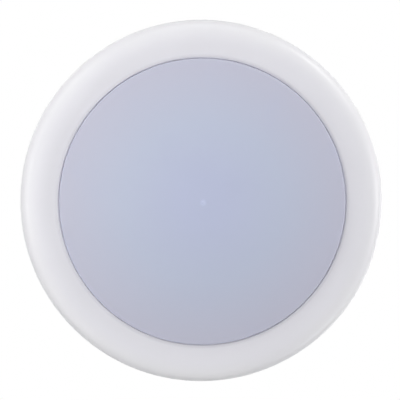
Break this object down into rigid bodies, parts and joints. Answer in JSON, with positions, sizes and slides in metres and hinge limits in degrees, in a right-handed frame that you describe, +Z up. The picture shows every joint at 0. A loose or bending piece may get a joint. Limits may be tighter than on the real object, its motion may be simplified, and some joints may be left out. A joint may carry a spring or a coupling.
{
  "type": "surface-mounted ceiling light",
  "caption": "Round flush ceiling light: white plastic trim, domed opal lens, LED board, driver case and twist-lock steel bracket.",
  "frame": {"origin": "centre of the bracket's upper face, which lies on the ceiling and the electrical box", "axes": "+Z up into the ceiling, the light hangs below; +X towards one of the two box screws; the supply terminal is on the -Y side of the driver lid"},
  "size_m": [0.19, 0.19, 0.0568],
  "materials": {
    "zinc_steel": "zinc plated",
    "green_screw": "green plated",
    "white_trim": "satin",
    "opal_lens": "opal, satin",
    "silicone": "matt",
    "white_inner": "satin",
    "white_sheet": "matt film",
    "board_white": "white solder mask",
    "chip_phosphor": "phosphor",
    "connector_ivory": "satin",
    "thermal_pad": "matt",
    "screw_steel": "zinc plated",
    "pan_aluminium": "mill",
    "black_foam": "closed-cell foam",
    "stud_steel": "zinc plated",
    "case_plastic": "satin",
    "lid_plastic": "satin",
    "board_green": "solder mask",
    "winding_tape": "tape",
    "capacitor_sleeve": "sleeved can",
    "film_body": "gloss",
    "winding_copper": "enamelled wire on ferrite",
    "ferrite": "sintered",
    "chip_black": "matt",
    "fuse_brown": "satin",
    "bushing_rubber": "matt",
    "lead_red": "insulation",
    "lead_black": "insulation",
    "terminal_white": "satin",
    "clamp_copper": "spring copper",
    "button_orange": "satin",
    "switch_steel": "bright",
    "slider_black": "satin"
  },
  "bodies": {
    "bracket": {"mounting_bracket": "zinc_steel", "earth_screw": "green_screw"},
    "selector": {"selector_slider": "slider_black"},
    "button_line": {"release_button_line": "button_orange"},
    "button_neutral": {"release_button_neutral": "button_orange"},
    "light": {"trim_ring": "white_trim", "diffuser_lens": "opal_lens", "lens_seal": "silicone", "reflector_cup": "white_inner", "reflector_sheet": "white_sheet", "led_board": "board_white", "led_chips": "chip_phosphor", "board_connector": "connector_ivory", "thermal_pad": "thermal_pad", "board_screws": "screw_steel", "back_pan": "pan_aluminium", "pan_screws": "screw_steel", "ceiling_gasket": "black_foam", "twist_studs": "stud_steel", "driver_case": "case_plastic", "case_screws": "screw_steel", "driver_lid": "lid_plastic", "lid_screws": "screw_steel", "driver_board": "board_green", "transformer": "winding_tape", "bulk_capacitor": "capacitor_sleeve", "output_capacitor": "capacitor_sleeve", "film_capacitor": "film_body", "line_choke": "winding_copper", "output_inductor": "ferrite", "bridge_rectifier": "chip_black", "control_chip": "chip_black", "fuse": "fuse_brown", "lead_bushing": "bushing_rubber", "lead_positive": "lead_red", "lead_negative": "lead_black", "terminal_block": "terminal_white", "wire_clamps": "clamp_copper", "selector_switch": "switch_steel"}
  },
  "joints": [
    {"name": "light_twist", "type": "hinge", "parent": "bracket", "child": "light", "pos_m": [0, 0, 0], "axis": [0, 0, 1], "range_deg": [-18, 0]},
    {"name": "selector_slide", "type": "slide", "parent": "light", "child": "selector", "axis": [1, 0, 0], "range_m": [-0.004, 0.004]},
    {"name": "button_line_press", "type": "slide", "parent": "light", "child": "button_line", "axis": [0, 0, -1], "range_m": [0, 0.0012], "stiffness_N_per_m": 500},
    {"name": "button_neutral_press", "type": "slide", "parent": "light", "child": "button_neutral", "axis": [0, 0, -1], "range_m": [0, 0.0012], "stiffness_N_per_m": 500}
  ]
}
